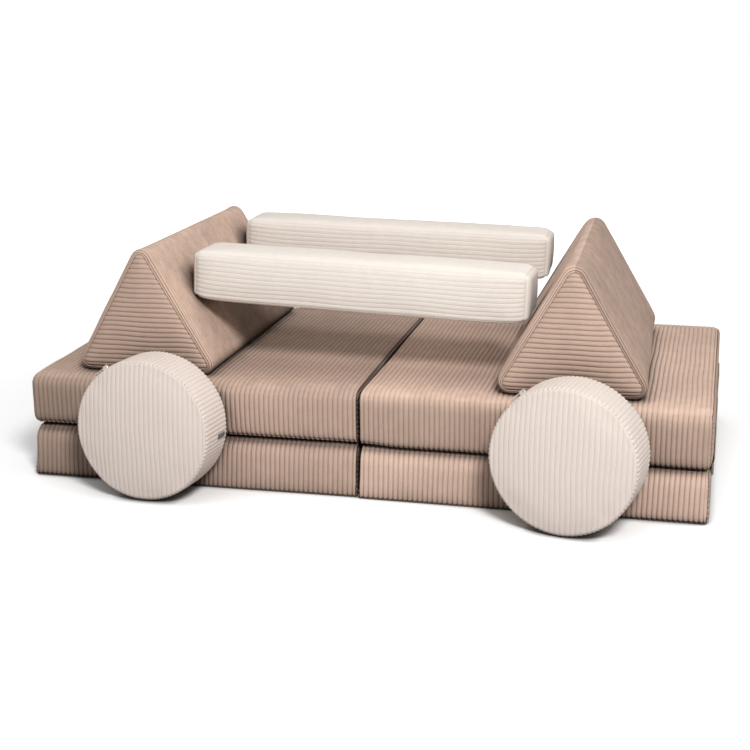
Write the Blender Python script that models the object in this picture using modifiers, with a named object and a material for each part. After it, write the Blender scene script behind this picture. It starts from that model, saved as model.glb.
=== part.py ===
"""Modular foam play sofa: folding mattresses, prisms, bars and discs with zipped covers."""

from math import cos, pi, radians, sin, sqrt

import bmesh
import bpy
from mathutils import Matrix, Vector
from mathutils.bvhtree import BVHTree

OBJECT_NAME = "modular_foam_play_sofa"
MM = 0.001

# Foam modules, outside sizes of their covers
PAD_WIDTH = 596 * MM
PAD_DEPTH = 610 * MM
PAD_THICKNESS = 92.5 * MM
PRISM_SIDE = 277 * MM
PRISM_LENGTH = 524 * MM
BAR_LENGTH = 606 * MM
BAR_HEIGHT = 92 * MM
BAR_DEPTH = 99 * MM
DISC_RADIUS = 122 * MM
DISC_THICKNESS = 87 * MM

# Rounding of the seams, as the width of the rounded strip on each face
PAD_EDGE = 13 * MM
PRISM_RIDGE = 24 * MM
PRISM_EDGE = 12 * MM
BAR_EDGE = 15 * MM
DISC_EDGE = 9 * MM

# Crown of the stuffed faces and the pull of the seams between the corners
PAD_CROWN = 2 * MM
PAD_BULGE = 2.5 * MM
PAD_DRAW = 4 * MM
PRISM_CROWN = 1.5 * MM
PRISM_END_CROWN = 4 * MM
BAR_CROWN = 3 * MM
BAR_DRAW = 2 * MM
BAR_END_BULGE = 2 * MM
DISC_CROWN = 5 * MM

# Cover cloth, and the room that the zip tape needs between cloth and foam
COVER_WALL = 2.4 * MM
CORE_GAP = 1.4 * MM
SEAT_GAP = 0.4 * MM
RUNNING_GAP = 0.35 * MM
CUT_OVERRUN = 0.8 * MM
MERGE_DISTANCE = 0.05 * MM

# Zips
TAPE_WIDTH = 26 * MM
TAPE_THICKNESS = 0.8 * MM
CHAIN_WIDTH = 5.5 * MM
CHAIN_RISE = 1.4 * MM
SLOT_WIDTH = 9 * MM
SLOT_END_GAP = 1 * MM
TAPE_END_LENGTH = 9 * MM
PAD_ZIP_MARGIN = 48 * MM
PAD_ZIP_LENGTH = PAD_WIDTH - 2 * PAD_ZIP_MARGIN
BAR_ZIP_MARGIN = 53 * MM
BAR_ZIP_LENGTH = BAR_LENGTH - 2 * BAR_ZIP_MARGIN
PRISM_ZIP_MARGIN = 65.5 * MM
PRISM_ZIP_LENGTH = PRISM_SIDE - 2 * PRISM_ZIP_MARGIN
PRISM_ZIP_HEIGHT = 38 * MM
DISC_ZIP_STEPS = 10
DISC_ZIP_FIRST_STEP = 11

# Zip sliders and their pulls
SLIDER_LENGTH = 11 * MM
SLIDER_PLATE = 1.4 * MM
SLIDER_FLANGE = 1.3 * MM
SLIDER_CORNER = 0.8 * MM
SLIDER_END_ROOM = 4 * MM
STAPLE_LENGTH = 9.4 * MM
STAPLE_WIRE = 1.4 * MM
STAPLE_WIDTH = 2 * MM
STAPLE_ROOM = 2.1 * MM
STAPLE_ROOT = 0.5 * MM
PULL_LENGTH = 26 * MM
PULL_WIDTH = 8.4 * MM
PULL_THICKNESS = 1.3 * MM
PULL_WINDOW_WIDTH = 4.2 * MM
PULL_WINDOW_LENGTH = 6 * MM
PULL_EYE_RADIUS = 1.7 * MM
PULL_CORNER = 2.4 * MM

# Cloth strip of each fold, in two flaps that meet on the fold's axis
FLAP_THICKNESS = 2 * MM
FLAP_HEIGHT = 29 * MM
FLAP_INSET = 23 * MM
FLAP_CORNER = 6 * MM
FOLD_AXIS_GAP = 0.2 * MM

# Blank woven tab on the rim of the left disc
TAB_WIDTH = 26 * MM
TAB_LENGTH = 8 * MM
TAB_THICKNESS = 0.8 * MM

# How the modules are set up
RIGHT_YAW = radians(-1.2)
RIGHT_SET_FORWARD = 4 * MM
LEFT_PRISM_FROM_SEAM = 391 * MM
LEFT_PRISM_SETBACK = 38 * MM
LEFT_PRISM_YAW = radians(-0.9)
RIGHT_PRISM_FROM_SEAM = 355 * MM
RIGHT_PRISM_SETBACK = 20 * MM
RIGHT_PRISM_YAW = radians(0.2)
FRONT_BAR_SETBACK = 150 * MM
FRONT_BAR_YAW = radians(-2.7)
FRONT_BAR_TILT = radians(1.6)
REAR_BAR_SETBACK = 482 * MM
REAR_BAR_YAW = radians(0.6)
REAR_BAR_TILT = radians(1.8)
LEFT_DISC_FROM_SEAM = 352 * MM
LEFT_DISC_YAW = radians(-4.8)
LEFT_DISC_LEAN = radians(2.6)
RIGHT_DISC_FROM_SEAM = 365 * MM
RIGHT_DISC_YAW = radians(-11)
RIGHT_DISC_LEAN = radians(1.6)
DROP_START = 300 * MM

# Facets
PAD_COLUMNS = 4
PAD_ROWS = 4
BAR_COLUMNS = 7
BAR_ROWS = 2
PRISM_COLUMNS = 5
PRISM_LEVEL_SHARES = (0.3, 0.56)
PRISM_COLUMN_SHARE = 0.3
EDGE_SEGMENTS = 2
DISC_FACETS = 32
DISC_RING_SHARES = (0.62,)
PULL_EYE_FACETS = 8
SETTLE_PASSES = 24
SHARP_ANGLE = radians(30)
ALIGNED_SHARE = 0.999

BROWN = (0.47, 0.33, 0.27)
CREAM = (0.82, 0.76, 0.70)
FOAM = (0.86, 0.84, 0.74)
ZIP_BROWN = (0.30, 0.21, 0.17)
ZIP_CREAM = (0.66, 0.60, 0.54)
METAL = (0.62, 0.60, 0.57)

AXIS_X = Vector((1, 0, 0))
AXIS_Y = Vector((0, 1, 0))
AXIS_Z = Vector((0, 0, 1))


def clear_scene():
    for found in list(bpy.data.objects):
        bpy.data.objects.remove(found, do_unlink=True)


def make_collection(name):
    collection = bpy.data.collections.new(name)
    bpy.context.scene.collection.children.link(collection)
    return collection


def make_material(name, colour, roughness, metallic):
    material = bpy.data.materials.new(name)
    material.use_nodes = True
    shader = material.node_tree.nodes["Principled BSDF"]
    shader.inputs["Base Color"].default_value = (*colour, 1)
    shader.inputs["Roughness"].default_value = roughness
    shader.inputs["Metallic"].default_value = metallic
    material.diffuse_color = (*colour, 1)
    return material


def add_empty(name, parent, matrix):
    empty = bpy.data.objects.new(name, None)
    parts.objects.link(empty)
    empty.parent = parent
    empty.matrix_basis = matrix
    return empty


def add_node(name, mesh, material, parent, matrix=None):
    node = bpy.data.objects.new(name, mesh)
    parts.objects.link(node)
    node.parent = parent
    node.matrix_basis = matrix or Matrix()
    if not mesh.materials:
        mesh.materials.append(material)
    return node


def add_cutter(name, mesh, parent, matrix):
    cutter = bpy.data.objects.new(name, mesh)
    cutters.objects.link(cutter)
    cutter.parent = parent
    cutter.matrix_basis = matrix
    cutter.hide_render = True
    cutter.display_type = "WIRE"
    return cutter


def mesh_from(bm, name):
    bmesh.ops.recalc_face_normals(bm, faces=bm.faces)
    bmesh.ops.triangulate(bm, faces=bm.faces)
    mesh = bpy.data.meshes.new(name)
    bm.to_mesh(mesh)
    bm.free()
    return mesh


def box_shape(size, centre=(0, 0, 0)):
    bm = bmesh.new()
    bmesh.ops.create_cube(bm, size=1)
    bmesh.ops.scale(bm, vec=size, verts=bm.verts)
    bmesh.ops.translate(bm, vec=centre, verts=bm.verts)
    return bm


def extruded_shape(outline, depth):
    """An outline in XZ made solid along Y, with its middle at zero."""
    bm = bmesh.new()
    verts = [bm.verts.new((x, -depth / 2, z)) for x, z in outline]
    face = bm.faces.new(verts)
    moved = bmesh.ops.extrude_face_region(bm, geom=[face])["geom"]
    far_verts = [item for item in moved if isinstance(item, bmesh.types.BMVert)]
    bmesh.ops.translate(bm, vec=AXIS_Y * depth, verts=far_verts)
    return bm


def bevel_edges(bm, width, segments, chosen):
    edges = [edge for edge in bm.edges if chosen(edge)]
    bmesh.ops.bevel(bm, geom=edges, offset=width, offset_type="OFFSET", segments=segments,
                    profile=0.5, affect="EDGES", clamp_overlap=True)


def is_sharp(edge):
    return edge.calc_face_angle(0) > SHARP_ANGLE


def is_ridge(edge):
    """A long edge of a prism."""
    low, high = edge.verts
    return is_sharp(edge) and abs((high.co - low.co).normalized().y) > ALIGNED_SHARE


def cut_across(bm, axis, places):
    for place in places:
        geometry = bm.verts[:] + bm.edges[:] + bm.faces[:]
        bmesh.ops.bisect_plane(bm, geom=geometry, plane_co=axis * place, plane_no=axis)


def even_places(half, edge, count):
    """Grid lines that split the flat stretch between two rounded strips."""
    reach = half - edge
    return [reach * (2 * step / count - 1) for step in range(1, count)]


def evaluated_mesh(shape):
    graph = bpy.context.evaluated_depsgraph_get()
    return bpy.data.meshes.new_from_object(shape.evaluated_get(graph))


def joined_mesh(name, meshes, operation="UNION"):
    """The first mesh joined with, or cut by, each of the others."""
    shapes = []
    for index, mesh in enumerate(meshes):
        shape = bpy.data.objects.new(f"{name}_{index}", mesh)
        bpy.context.scene.collection.objects.link(shape)
        shapes.append(shape)
    for other in shapes[1:]:
        step = shapes[0].modifiers.new(other.name, "BOOLEAN")
        step.operation = operation
        step.object = other
    result = evaluated_mesh(shapes[0])
    result.name = name
    for shape in shapes:
        bpy.data.objects.remove(shape, do_unlink=True)
    return result


def soft_block(name, size, edge, columns, rows, top_crown, sides):
    """A stuffed box with a flat underside. sides holds (draw, bulge) for -X, +X, -Y and +Y: how far
    the seam is pulled in and the panel stands out."""
    half = size / 2
    bm = box_shape(size)
    cut_across(bm, AXIS_X, even_places(half.x, edge, columns))
    cut_across(bm, AXIS_Y, even_places(half.y, edge, rows))
    cut_across(bm, AXIS_Z, [0])
    bevel_edges(bm, edge, EDGE_SEGMENTS, is_sharp)
    for vert in bm.verts:
        u, v, w = (vert.co[axis] / half[axis] for axis in range(3))
        draw_x, bulge_x = sides[1] if u > 0 else sides[0]
        draw_y, bulge_y = sides[3] if v > 0 else sides[2]
        crown = top_crown if w > 0 else 0
        vert.co.x += u * (bulge_x * (1 - w ** 2) - draw_x * (1 - v ** 2))
        vert.co.y += v * (bulge_y * (1 - w ** 2) - draw_y * (1 - u ** 2))
        vert.co.z += w * crown * (1 - u ** 4) * (1 - v ** 4)
    return mesh_from(bm, name)


def soft_prism(name, side, length, edge, front_crown):
    """A stuffed triangular prism along Y that stands on zero height."""
    inner = side / (2 * sqrt(3))
    half = length / 2
    corners = [(2 * inner * cos(angle), 2 * inner * sin(angle)) for angle in (pi / 2, pi * 7 / 6, pi * 11 / 6)]
    bm = extruded_shape(corners, length)
    cut_across(bm, AXIS_Y, even_places(half, edge, PRISM_COLUMNS))
    cut_across(bm, AXIS_X, [sign * PRISM_COLUMN_SHARE * side / 2 for sign in (-1, 1)])
    cut_across(bm, AXIS_Z, [3 * inner * share - inner for share in PRISM_LEVEL_SHARES])
    bevel_edges(bm, PRISM_RIDGE, EDGE_SEGMENTS, is_ridge)
    bevel_edges(bm, edge, EDGE_SEGMENTS, is_sharp)
    normals = [Vector((cos(angle), 0, sin(angle))) for angle in (pi / 6, pi * 5 / 6)]
    for vert in bm.verts:
        depths = [1 - vert.co.dot(normal) / inner for normal in normals] + [1 + vert.co.z / inner]
        along = 1 - (vert.co.y / half) ** 4
        middle = max(depths[0], 0) * max(depths[1], 0) * max(depths[2], 0)
        shift = Vector()
        for index, normal in enumerate(normals):
            across = vert.co.cross(normal).y / (side / 2)
            near = max(0, 1 - depths[index] * inner / edge)
            shift += normal * PRISM_CROWN * near * along * max(0, 1 - across ** 2)
        if vert.co.y < 0:
            near = max(0, 1 - (half + vert.co.y) / edge)
            shift -= AXIS_Y * front_crown * near * middle
        vert.co += shift
    bmesh.ops.translate(bm, verts=bm.verts, vec=AXIS_Z * inner)
    return mesh_from(bm, name)


def soft_disc(name, radius, thickness, edge):
    """A stuffed disc turned about Y: half of its section goes round once."""
    half = thickness / 2
    flat = radius - edge
    front = [(0, half + DISC_CROWN)]
    front += [(flat * share, half + DISC_CROWN * (1 - share ** 2)) for share in DISC_RING_SHARES]
    for step in range(EDGE_SEGMENTS + 1):
        angle = pi / 2 * (1 - step / EDGE_SEGMENTS)
        front.append((flat + edge * cos(angle), half - edge + edge * sin(angle)))
    outline = [(ring, -place) for ring, place in front]
    outline += [(ring, place) for ring, place in reversed(front)]
    bm = bmesh.new()
    verts = [bm.verts.new((ring, place, 0)) for ring, place in outline]
    edges = [bm.edges.new(pair) for pair in zip(verts, verts[1:])]
    bmesh.ops.spin(bm, geom=verts + edges, cent=(0, 0, 0), axis=AXIS_Y, angle=2 * pi, steps=DISC_FACETS,
                   use_merge=True)
    bmesh.ops.remove_doubles(bm, verts=bm.verts, dist=MERGE_DISTANCE)
    return mesh_from(bm, name)


def add_wall(shape, thickness):
    """Cloth of even thickness inside the shape's own surface."""
    wall = shape.modifiers.new("wall", "SOLIDIFY")
    wall.thickness = thickness
    wall.offset = -1
    wall.use_even_offset = True


def core_of(skin):
    """The foam in a cover: the skin with its surface moved inwards by the cloth and the gap."""
    shape = bpy.data.objects.new("core", skin)
    bpy.context.scene.collection.objects.link(shape)
    add_wall(shape, COVER_WALL + CORE_GAP)
    walled = evaluated_mesh(shape)
    bpy.data.objects.remove(shape, do_unlink=True)
    core = skin.copy()
    count = len(core.vertices)
    for vert in core.vertices:
        vert.co = walled.vertices[count + vert.index].co
    return core


def hull_of(mesh):
    """The convex hull of a mesh: what a cushion's seams span when it is laid against another."""
    bm = bmesh.new()
    bm.from_mesh(mesh)
    result = bmesh.ops.convex_hull(bm, input=bm.verts)
    inside = [item for item in result["geom_interior"] if isinstance(item, bmesh.types.BMVert)]
    bmesh.ops.delete(bm, geom=inside, context="VERTS")
    hull = bpy.data.meshes.new(mesh.name + "_hull")
    bm.to_mesh(hull)
    bm.free()
    return hull


class Placed:
    """A mesh's points and faces at a place in the sofa."""

    def __init__(self, mesh, matrix):
        self.points = [matrix @ vert.co for vert in mesh.vertices]
        self.faces = [list(face.vertices) for face in mesh.polygons]
        self.tree = BVHTree.FromPolygons(self.points, self.faces)


def free_travel(mover, fixed, direction):
    """How far the mover can go before its surface meets the fixed one."""
    distances = [DROP_START]
    for point in mover.points:
        distance = fixed.tree.ray_cast(point, direction)[3]
        if distance is not None:
            distances.append(distance)
    for point in fixed.points:
        distance = mover.tree.ray_cast(point, -direction)[3]
        if distance is not None:
            distances.append(distance)
    return min(distances)


def moved_until_seated(mesh, matrix, fixed, direction, gap=SEAT_GAP):
    """The matrix moved along the direction until the gap to the nearest of the fixed is left."""
    mover = Placed(mesh, matrix)
    travel = min(free_travel(mover, other, direction) for other in fixed)
    return Matrix.Translation(direction * (travel - gap)) @ matrix


def settled_between(mesh, matrix, left, right, reach):
    """The matrix shifted along X, then lowered, so that the piece rests on both neighbours."""
    low, high = -reach, reach
    for _ in range(SETTLE_PASSES):
        shift = (low + high) / 2
        mover = Placed(mesh, Matrix.Translation(AXIS_X * shift) @ matrix)
        if free_travel(mover, left, -AXIS_Z) < free_travel(mover, right, -AXIS_Z):
            low = shift
        else:
            high = shift
    centred = Matrix.Translation(AXIS_X * (low + high) / 2) @ matrix
    return moved_until_seated(mesh, centred, (left, right), -AXIS_Z)


def placing(x_axis, y_axis, z_axis, place):
    """A matrix from the directions of its axes and its place."""
    columns = Matrix((x_axis, y_axis, z_axis)).transposed()
    return Matrix.Translation(place) @ columns.to_4x4()


# Zips: X runs along the chain in the way the slider opens it, Z points out of the cover and zero
# height is the cover's outer surface.
def tape_depth():
    return COVER_WALL + RUNNING_GAP


def straight_zip_mesh(name, length):
    tape = (length + 2 * TAPE_END_LENGTH, TAPE_WIDTH, TAPE_THICKNESS)
    tape_place = (0, 0, -tape_depth() - TAPE_THICKNESS / 2)
    chain_top = CHAIN_RISE
    chain_bottom = -tape_depth() - TAPE_THICKNESS / 2
    chain = (length - 2 * SLOT_END_GAP, CHAIN_WIDTH, chain_top - chain_bottom)
    chain_place = (0, 0, (chain_top + chain_bottom) / 2)
    meshes = [mesh_from(box_shape(tape, tape_place), "tape"), mesh_from(box_shape(chain, chain_place), "chain")]
    return joined_mesh(name, meshes)


def arc_band(name, low, high, width, first, last):
    """A band round Y between two radii and two angles, with a facet for each of the disc's."""
    bm = bmesh.new()
    corners = ((low, -width / 2), (high, -width / 2), (high, width / 2), (low, width / 2))
    verts = [bm.verts.new((ring, place, 0)) for ring, place in corners]
    face = bm.faces.new(verts)
    steps = max(1, round((last - first) / (2 * pi / DISC_FACETS)))
    bmesh.ops.rotate(bm, verts=verts, cent=(0, 0, 0), matrix=Matrix.Rotation(-first, 3, "Y"))
    bmesh.ops.spin(bm, geom=[face], cent=(0, 0, 0), axis=AXIS_Y, angle=first - last, steps=steps)
    return mesh_from(bm, name)


def disc_step(number):
    return 2 * pi * number / DISC_FACETS


def arc_zip_mesh(name, radius):
    first = disc_step(DISC_ZIP_FIRST_STEP)
    last = disc_step(DISC_ZIP_FIRST_STEP + DISC_ZIP_STEPS)
    tape_top = radius - tape_depth()
    tape_first = disc_step(DISC_ZIP_FIRST_STEP - 1)
    tape_last = disc_step(DISC_ZIP_FIRST_STEP + DISC_ZIP_STEPS + 1)
    tape = arc_band("tape", tape_top - TAPE_THICKNESS, tape_top, TAPE_WIDTH, tape_first, tape_last)
    chain = arc_band("chain", tape_top - TAPE_THICKNESS / 2, radius + CHAIN_RISE, CHAIN_WIDTH, first, last)
    return joined_mesh(name, [tape, chain])


def staple_mesh(base):
    """The arch on a slider's plate that holds the pull."""
    outer = STAPLE_LENGTH / 2
    inner = outer - STAPLE_WIRE
    under = base + STAPLE_ROOM
    top = under + STAPLE_WIRE
    root = base - STAPLE_ROOT
    corner = STAPLE_WIRE / 2
    outer_side = ((outer, root), (outer, top - corner), (outer - corner, top))
    inner_side = ((inner, under), (inner, root))
    outline = outer_side + tuple((-x, z) for x, z in reversed(outer_side))
    outline += tuple((-x, z) for x, z in reversed(inner_side)) + inner_side
    return mesh_from(extruded_shape(outline, STAPLE_WIDTH), "staple")


def slider_roof():
    return CHAIN_RISE + RUNNING_GAP


def slider_top():
    return slider_roof() + SLIDER_PLATE


def slider_mesh():
    """A channel over the chain with its staple."""
    inner = CHAIN_WIDTH + 2 * RUNNING_GAP
    width = inner + 2 * SLIDER_FLANGE
    outside = box_shape((SLIDER_LENGTH, width, slider_top() - RUNNING_GAP), (0, 0, (slider_top() + RUNNING_GAP) / 2))
    bevel_edges(outside, SLIDER_CORNER, 1, is_upright)
    channel_depth = slider_roof() + CUT_OVERRUN
    channel = box_shape((SLIDER_LENGTH + 2 * CUT_OVERRUN, inner, channel_depth),
                        (0, 0, slider_roof() - channel_depth / 2))
    hollow = joined_mesh("channel", [mesh_from(outside, "outside"), mesh_from(channel, "groove")], "DIFFERENCE")
    return joined_mesh("zip_slider", [hollow, staple_mesh(slider_top())])


def is_upright(edge):
    low, high = edge.verts
    return abs((high.co - low.co).normalized().z) > ALIGNED_SHARE


def pull_height():
    return slider_top() + RUNNING_GAP + PULL_THICKNESS / 2


def pull_mesh():
    """A tab that hangs on its crossbar, which is centred on the origin."""
    middle = PULL_LENGTH / 2 - PULL_THICKNESS / 2
    plate = box_shape((PULL_LENGTH, PULL_WIDTH, PULL_THICKNESS), (middle, 0, 0))
    bevel_edges(plate, PULL_CORNER, 1, lambda edge: is_upright(edge) and edge.verts[0].co.x > middle)
    window_start = PULL_THICKNESS / 2
    through = PULL_THICKNESS + 2 * CUT_OVERRUN
    window = box_shape((PULL_WINDOW_LENGTH, PULL_WINDOW_WIDTH, through),
                       (window_start + PULL_WINDOW_LENGTH / 2, 0, 0))
    eye = bmesh.new()
    bmesh.ops.create_cone(eye, cap_ends=True, segments=PULL_EYE_FACETS, radius1=PULL_EYE_RADIUS, radius2=PULL_EYE_RADIUS,
                          depth=through)
    eye_place = PULL_LENGTH - PULL_WIDTH / 2 - PULL_THICKNESS / 2
    bmesh.ops.translate(eye, vec=AXIS_X * eye_place, verts=eye.verts)
    meshes = [mesh_from(plate, "plate"), mesh_from(window, "window"), mesh_from(eye, "eye")]
    return joined_mesh("zip_pull", meshes, "DIFFERENCE")


def flap_mesh():
    """One flap of a fold, flat in YZ, rising from the fold line along Z."""
    length = PAD_DEPTH - 2 * FLAP_INSET
    clear = RUNNING_GAP / 2
    height = FLAP_HEIGHT - clear
    bm = box_shape((FLAP_THICKNESS, length, height), (0, 0, clear + height / 2))
    cut_across(bm, AXIS_Y, even_places(length / 2, 0, 2))
    bevel_edges(bm, FLAP_CORNER, 2, is_flap_corner)
    return mesh_from(bm, "fold_flap")


def is_flap_corner(edge):
    """An upper corner of a flap, seen from its face."""
    low, high = edge.verts
    is_across = abs((high.co - low.co).normalized().x) > ALIGNED_SHARE
    return is_across and low.co.z > FLAP_HEIGHT / 2 and abs(low.co.y) > FLAP_CORNER


def add_module(name, frame, skin, zip_mesh, zip_frame, slot, slider_place, colours):
    """Cover, foam, zip, slider and pull of one module, in the module's own frame."""
    cloth, tape = colours
    cover = add_node(f"{name}_cover", skin.copy(), cloth, frame)
    add_wall(cover, COVER_WALL)
    slot_cut = cover.modifiers.new("zip_slot", "BOOLEAN")
    slot_cut.operation = "DIFFERENCE"
    slot_cut.object = add_cutter(f"{name}_slot", slot, frame, zip_frame)
    add_node(f"{name}_foam", core_of(skin), FOAM_MATERIAL, frame)
    add_node(f"{name}_zipper", zip_mesh, tape, frame, zip_frame)
    slider = add_node(f"{name}_zip_slider", SLIDER, METAL_MATERIAL, frame, zip_frame @ slider_place)
    add_node(f"{name}_zip_pull", PULL, METAL_MATERIAL, slider, Matrix.Translation(AXIS_Z * pull_height()))


def slot_mesh(length):
    depth = COVER_WALL + 2 * CUT_OVERRUN
    return mesh_from(box_shape((length, SLOT_WIDTH, depth), (0, 0, -COVER_WALL / 2)), "slot")


def arc_slot_mesh(radius):
    first = disc_step(DISC_ZIP_FIRST_STEP) - SLOT_END_GAP / radius
    last = disc_step(DISC_ZIP_FIRST_STEP + DISC_ZIP_STEPS) + SLOT_END_GAP / radius
    return arc_band("slot", radius - COVER_WALL - CUT_OVERRUN, radius + CUT_OVERRUN, SLOT_WIDTH, first, last)


def slider_start(length):
    """The slider's place at the closed end of a straight zip."""
    return Matrix.Translation(AXIS_X * (SLIDER_END_ROOM + SLIDER_LENGTH / 2 - length / 2))


def back_zip_frame(place):
    return placing(-AXIS_X, AXIS_Z, AXIS_Y, place)


def pad_skins(side):
    """Skins of the lower and upper pads whose fold is on the given side of X."""
    size = Vector((PAD_WIDTH, PAD_DEPTH, PAD_THICKNESS))
    seam_side = (PAD_DRAW, PAD_BULGE)
    plain_side = (0, 0)
    sides = (seam_side, plain_side) if side > 0 else (plain_side, seam_side)
    sides += ((0, PAD_BULGE), plain_side)
    crowns = {"lower": 0, "upper": PAD_CROWN}
    return {level: soft_block("pad_skin", size, PAD_EDGE, PAD_COLUMNS, PAD_ROWS, crown, sides)
            for level, crown in crowns.items()}


def build_mattress(name, side, origin):
    """Two pads joined by the fold at their outer ends. The origin is the lower pad's centre on the
    floor. The lower pad turns on the fold's axis, the upper pad stays."""
    skins = pad_skins(side)
    flap_x = side * (PAD_WIDTH / 2 + SEAT_GAP + FLAP_THICKNESS / 2)
    axis_x = side * (PAD_WIDTH / 2 + SEAT_GAP + FLAP_THICKNESS + FOLD_AXIS_GAP)
    fold_z = PAD_THICKNESS + SEAT_GAP / 2
    upper_place = Matrix.Translation(AXIS_Z * (PAD_THICKNESS * 3 / 2 + SEAT_GAP))
    upper = add_empty(f"upper_{name}", origin, upper_place)
    fold = add_empty(f"{name}_fold_axis", origin, Matrix.Translation((axis_x, 0, fold_z)))
    lower = add_empty(f"lower_{name}", fold, Matrix.Translation((-axis_x, 0, PAD_THICKNESS / 2 - fold_z)))
    zip_frame = back_zip_frame(AXIS_Y * PAD_DEPTH / 2)
    frames = {"lower": lower, "upper": upper}
    for level, frame in frames.items():
        add_module(f"{level}_{name}", frame, skins[level], straight_zip_mesh("pad_zipper", PAD_ZIP_LENGTH), zip_frame,
                   slot_mesh(PAD_ZIP_LENGTH), slider_start(PAD_ZIP_LENGTH), (BROWN_CLOTH, BROWN_TAPE))
    flap = flap_mesh()
    turned = Matrix.Rotation(pi, 4, "Y")
    lower_flap = Matrix.Translation((flap_x - axis_x, 0, 0)) @ turned
    add_node(f"{name}_fold_lower_flap", flap, BROWN_CLOTH, fold, lower_flap)
    add_node(f"{name}_fold_upper_flap", flap, BROWN_CLOTH, origin, Matrix.Translation((flap_x, 0, fold_z)))
    return frames, skins


def world_matrix(frame):
    bpy.context.view_layer.update()
    return frame.matrix_world.copy()


def child_matrix(parent, place):
    """A place in the sofa's frame as a child's own matrix."""
    return world_matrix(parent).inverted() @ place


def build_prism(name, parent, x, setback, yaw, carrier):
    skin = soft_prism("prism_skin", PRISM_SIDE, PRISM_LENGTH, PRISM_EDGE, PRISM_END_CROWN)
    start = Matrix.Translation((x, setback + PRISM_LENGTH / 2, 2 * PAD_THICKNESS + DROP_START / 2))
    place = moved_until_seated(skin, start @ Matrix.Rotation(yaw, 4, "Z"), (carrier,), -AXIS_Z)
    frame = add_empty(f"{name}_frame", parent, child_matrix(parent, place))
    zip_frame = back_zip_frame((0, PRISM_LENGTH / 2, PRISM_ZIP_HEIGHT))
    add_module(name, frame, skin, straight_zip_mesh("prism_zipper", PRISM_ZIP_LENGTH), zip_frame,
               slot_mesh(PRISM_ZIP_LENGTH), slider_start(PRISM_ZIP_LENGTH), (BROWN_CLOTH, BROWN_TAPE))
    return Placed(skin, place)


def build_bar(name, parent, setback, yaw, tilt, left, right):
    size = Vector((BAR_LENGTH, BAR_DEPTH, BAR_HEIGHT))
    end = (0, BAR_END_BULGE)
    sides = (end, end, (BAR_DRAW, BAR_CROWN), (0, 0))
    skin = soft_block("bar_skin", size, BAR_EDGE, BAR_COLUMNS, BAR_ROWS, BAR_CROWN, sides)
    high = 2 * PAD_THICKNESS + PRISM_SIDE
    turned = Matrix.Rotation(yaw, 4, "Z") @ Matrix.Rotation(tilt, 4, "Y")
    start = Matrix.Translation((0, setback, high)) @ turned
    place = settled_between(skin, start, left, right, PRISM_SIDE / 2)
    frame = add_empty(f"{name}_frame", parent, child_matrix(parent, place))
    zip_frame = back_zip_frame(AXIS_Y * BAR_DEPTH / 2)
    add_module(name, frame, skin, straight_zip_mesh("bar_zipper", BAR_ZIP_LENGTH), zip_frame,
               slot_mesh(BAR_ZIP_LENGTH), slider_start(BAR_ZIP_LENGTH), (CREAM_CLOTH, CREAM_TAPE))


def around_rim(step, height):
    """A place on a disc's rim. Z points outwards and X runs on round the rim."""
    angle = disc_step(step)
    out = Vector((cos(angle), 0, sin(angle)))
    onward = Vector((-sin(angle), 0, cos(angle)))
    return placing(onward, out.cross(onward), out, out * height)


def build_disc(name, parent, x, yaw, lean, behind):
    skin = soft_disc("disc_skin", DISC_RADIUS, DISC_THICKNESS, DISC_EDGE)
    turned = Matrix.Rotation(yaw, 4, "Z") @ Matrix.Rotation(-lean, 4, "X")
    lowest = min((turned @ vert.co).z for vert in skin.vertices)
    start = Matrix.Translation((x, -DROP_START / 2 - DISC_THICKNESS, -lowest)) @ turned
    place = moved_until_seated(skin, start, behind, AXIS_Y)
    frame = add_empty(f"{name}_frame", parent, child_matrix(parent, place))
    slider_place = around_rim(DISC_ZIP_FIRST_STEP + 1 / 2, DISC_RADIUS)
    add_module(name, frame, skin, arc_zip_mesh("disc_zipper", DISC_RADIUS), Matrix(), arc_slot_mesh(DISC_RADIUS),
               slider_place, (CREAM_CLOTH, CREAM_TAPE))
    return frame


def add_tab(disc_frame):
    """A blank woven tab laid on the rim, near the back seam."""
    facet_height = DISC_RADIUS * cos(disc_step(1 / 2))
    place = around_rim(-1 / 2, facet_height + SEAT_GAP / 2 + TAB_THICKNESS / 2)
    toward_back = Matrix.Translation(-AXIS_Y * (DISC_THICKNESS / 2 - DISC_EDGE) / 2)
    tab = box_shape((TAB_LENGTH, TAB_WIDTH, TAB_THICKNESS))
    add_node("left_disc_tab", mesh_from(tab, "tab"), TAB_CLOTH, disc_frame, place @ toward_back)


def settle_on_origin(root):
    """The sofa's box stands centred on the origin."""
    bpy.context.view_layer.update()
    corners = []
    for node in parts.objects:
        if node.type == "MESH":
            corners += [node.matrix_world @ vert.co for vert in node.data.vertices]
    low = Vector([min(corner[axis] for corner in corners) for axis in range(3)])
    high = Vector([max(corner[axis] for corner in corners) for axis in range(3)])
    middle = (low + high) / 2
    root.location = (-middle.x, -middle.y, -low.z)


clear_scene()
parts = make_collection(OBJECT_NAME)
cutters = make_collection("cutters")
BROWN_CLOTH = make_material("brown_corduroy", BROWN, 0.9, 0)
CREAM_CLOTH = make_material("cream_corduroy", CREAM, 0.9, 0)
FOAM_MATERIAL = make_material("foam", FOAM, 0.95, 0)
BROWN_TAPE = make_material("brown_zip", ZIP_BROWN, 0.6, 0)
CREAM_TAPE = make_material("cream_zip", ZIP_CREAM, 0.6, 0)
METAL_MATERIAL = make_material("zip_metal", METAL, 0.35, 1)
TAB_CLOTH = make_material("woven_tab", ZIP_BROWN, 0.8, 0)
SLIDER = slider_mesh()
PULL = pull_mesh()

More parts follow.
